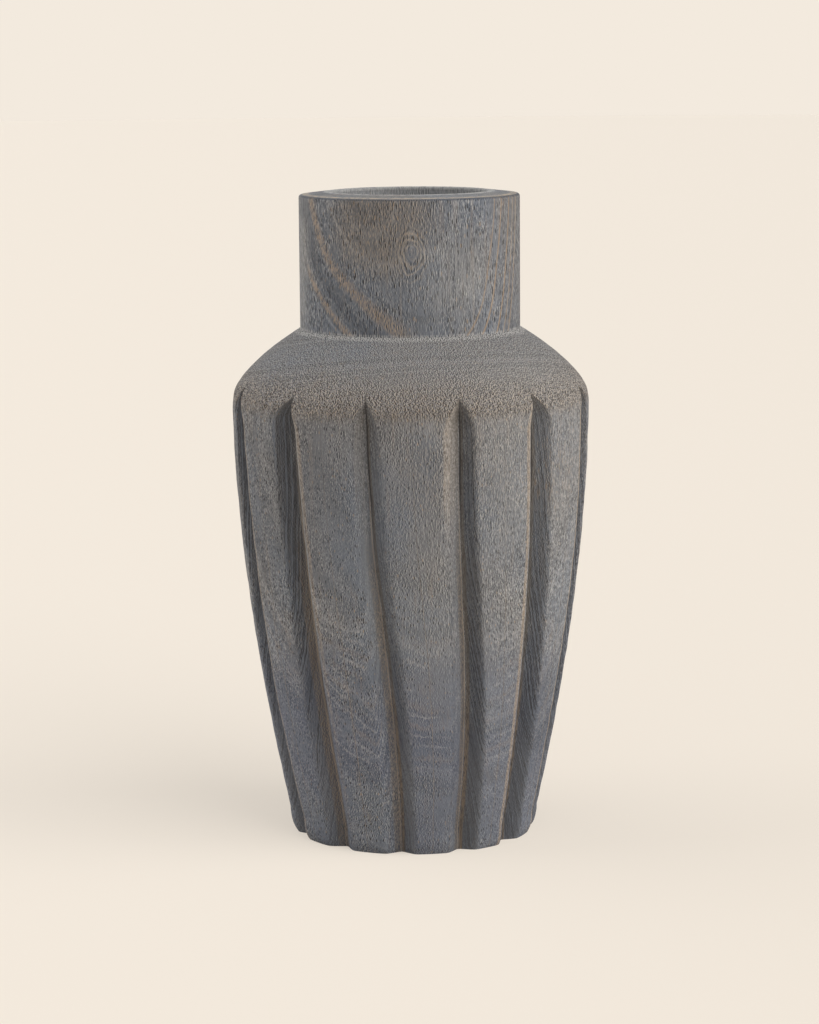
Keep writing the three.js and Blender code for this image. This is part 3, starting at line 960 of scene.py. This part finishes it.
class VASE_OT_foot_disc(bpy.types.Operator):
    """Turn the disc that closes the foot"""

    bl_idname = "vase.foot_disc"
    bl_label = "Foot disc"

    COLUMNS = 120
    CHAMFER_STEPS = 3

    def execute(self, context):
        disc = context.scene.vase_disc
        shape = bmesh.new()
        place = Matrix.Translation((0, 0, DISC_LOW.z))
        bmesh.ops.create_circle(
            shape, cap_ends=True, segments=self.COLUMNS, radius=DISC_HIGH.x, matrix=place
        )
        raised = bmesh.ops.extrude_face_region(shape, geom=shape.faces[:])
        top = [item for item in raised["geom"] if isinstance(item, bmesh.types.BMVert)]
        bmesh.ops.translate(shape, verts=top, vec=(0, 0, DISC_HIGH.z - DISC_LOW.z))
        low = DISC_LOW.z + MM
        edges = [edge for edge in shape.edges if max(vert.co.z for vert in edge.verts) < low]
        steps = self.CHAMFER_STEPS
        bmesh.ops.bevel(
            shape, geom=edges, offset=disc.chamfer, segments=steps, profile=0.5, affect="EDGES", material=-1
        )
        name = "turned_foot_disc"
        finished_piece(shape, name, "foot_disc", disc_growth, disc_wood, CRISP_TURNED)
        return {"FINISHED"}


class VASE_OT_stage(bpy.types.Operator):
    """Set up the plain floor, the soft light and the camera"""

    bl_idname = "vase.stage"
    bl_label = "Floor, light and camera"

    FLOOR_RADIUS = 12
    FLOOR_SIDES = 128
    # How far the floor is seen in its own colour, over its shadows
    SHADOW_LIFT = 0.55
    # The light of the room: its colour and its strength
    ROOM = (0xFCFCFC, 0.44)
    # Each lamp's name, direction from the front, height in degrees, width in degrees, strength and colour
    LAMPS = (
        ("window_right", 55, 38, 65, 1.32, 0xFFFDFA),
        ("low_right", 90, 6, 50, 1.35, 0xFFFCF8),
        ("window_left", -112, 38, 70, 1.2, 0xFFFEFC),
    )

    def execute(self, context):
        stage = context.scene.vase_stage
        self.floor(stage)
        self.world(context.scene, stage)
        for lamp in self.LAMPS:
            self.lamp(*lamp)
        self.camera(context.scene, stage)
        return {"FINISHED"}

    def floor(self, stage):
        shape = bmesh.new()
        bmesh.ops.create_circle(shape, cap_ends=True, segments=self.FLOOR_SIDES, radius=self.FLOOR_RADIUS)
        mesh = bpy.data.meshes.new("floor")
        shape.to_mesh(mesh)
        shape.free()
        material, tree = new_material("plain_floor")
        real = add(tree, "BsdfDiffuse", {"Color": stage.floor_colour[:], "Roughness": 0.9})
        bright = add(tree, "Emission", {"Color": stage.floor_colour[:], "Strength": 1.0})
        seen = add(tree, "LightPath", {}).node.outputs["Is Camera Ray"]
        lifted = add(tree, "Math", {0: seen, 1: self.SHADOW_LIFT}, operation="MULTIPLY")
        shader = add(tree, "MixShader", {0: lifted, 1: real, 2: bright})
        add(tree, "OutputMaterial", {"Surface": shader})
        mesh.materials.append(material)
        floor = bpy.data.objects.new("floor", mesh)
        bpy.context.scene.collection.objects.link(floor)

    def world(self, scene, stage):
        world = bpy.data.worlds.new("plain_room")
        scene.world = world
        world.use_nodes = True
        tree = world.node_tree
        tree.nodes.clear()
        colour, strength = self.ROOM
        light = add(tree, "Background", {"Color": linear(colour), "Strength": strength})
        backdrop = add(tree, "Background", {"Color": stage.floor_colour[:], "Strength": 1.0})
        seen = add(tree, "LightPath", {}).node.outputs["Is Camera Ray"]
        chosen = add(tree, "MixShader", {0: seen, 1: light, 2: backdrop})
        add(tree, "OutputWorld", {"Surface": chosen})

    def lamp(self, name, azimuth, elevation, width, strength, colour):
        """A soft light from far away, as wide as it looks from the vase."""
        light = bpy.data.lights.new(name, "SUN")
        light.angle = math.radians(width)
        light.energy = strength
        light.color = linear(colour)[:3]
        turn, climb = math.radians(azimuth), math.radians(elevation)
        level = math.cos(climb)
        way = Vector((math.sin(turn) * level, -math.cos(turn) * level, math.sin(climb)))
        lamp = bpy.data.objects.new(name, light)
        lamp.matrix_world = way.to_track_quat("Z", "Y").to_matrix().to_4x4()
        bpy.context.scene.collection.objects.link(lamp)

    def camera(self, scene, stage):
        camera = bpy.data.objects.new("camera", bpy.data.cameras.new("camera"))
        camera.data.lens = stage.lens
        camera.data.clip_end = 4 * self.FLOOR_RADIUS
        place = Vector((stage.camera_side, -stage.camera_distance, stage.camera_height))
        fall = Matrix.Rotation(math.pi / 2 - stage.camera_fall, 4, "X")
        roll = Matrix.Rotation(stage.camera_roll, 4, "Z")
        camera.matrix_world = Matrix.Translation(place) @ fall @ roll
        scene.collection.objects.link(camera)
        scene.camera = camera


class VASE_PT_making(bpy.types.Panel):
    bl_label = "Fluted wooden vase"
    bl_idname = "VASE_PT_making"
    bl_space_type = "VIEW_3D"
    bl_region_type = "UI"
    bl_category = "Vase"

    def draw(self, context):
        for operator in OPERATORS:
            self.layout.operator(operator.bl_idname)
        for name in SETTINGS:
            group = getattr(context.scene, name)
            box = self.layout.box()
            box.label(text=SETTINGS[name].__name__)
            for key in SETTINGS[name].__annotations__:
                box.prop(group, key)


OPERATORS = (VASE_OT_fluted_body, VASE_OT_neck_collar, VASE_OT_foot_disc, VASE_OT_stage)
SETTINGS = {
    "vase_body": VaseBodySizes,
    "vase_neck": VaseNeckSizes,
    "vase_disc": VaseDiscSizes,
    "vase_finish": VaseFinish,
    "vase_stage": VaseStageSettings,
}
CLASSES = (*SETTINGS.values(), *OPERATORS, VASE_PT_making)


def register():
    for group in CLASSES:
        bpy.utils.register_class(group)
    for name, group in SETTINGS.items():
        setattr(bpy.types.Scene, name, bpy.props.PointerProperty(type=group))


def unregister():
    for name in SETTINGS:
        delattr(bpy.types.Scene, name)
    for group in reversed(CLASSES):
        bpy.utils.unregister_class(group)


def main():
    register()
    bpy.ops.vase.fluted_body()
    bpy.ops.vase.neck_collar()
    bpy.ops.vase.foot_disc()
    bpy.ops.vase.stage()
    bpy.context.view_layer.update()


if __name__ == "__main__":
    main()
    scene = bpy.context.scene
    scene.view_settings.view_transform = "Standard"
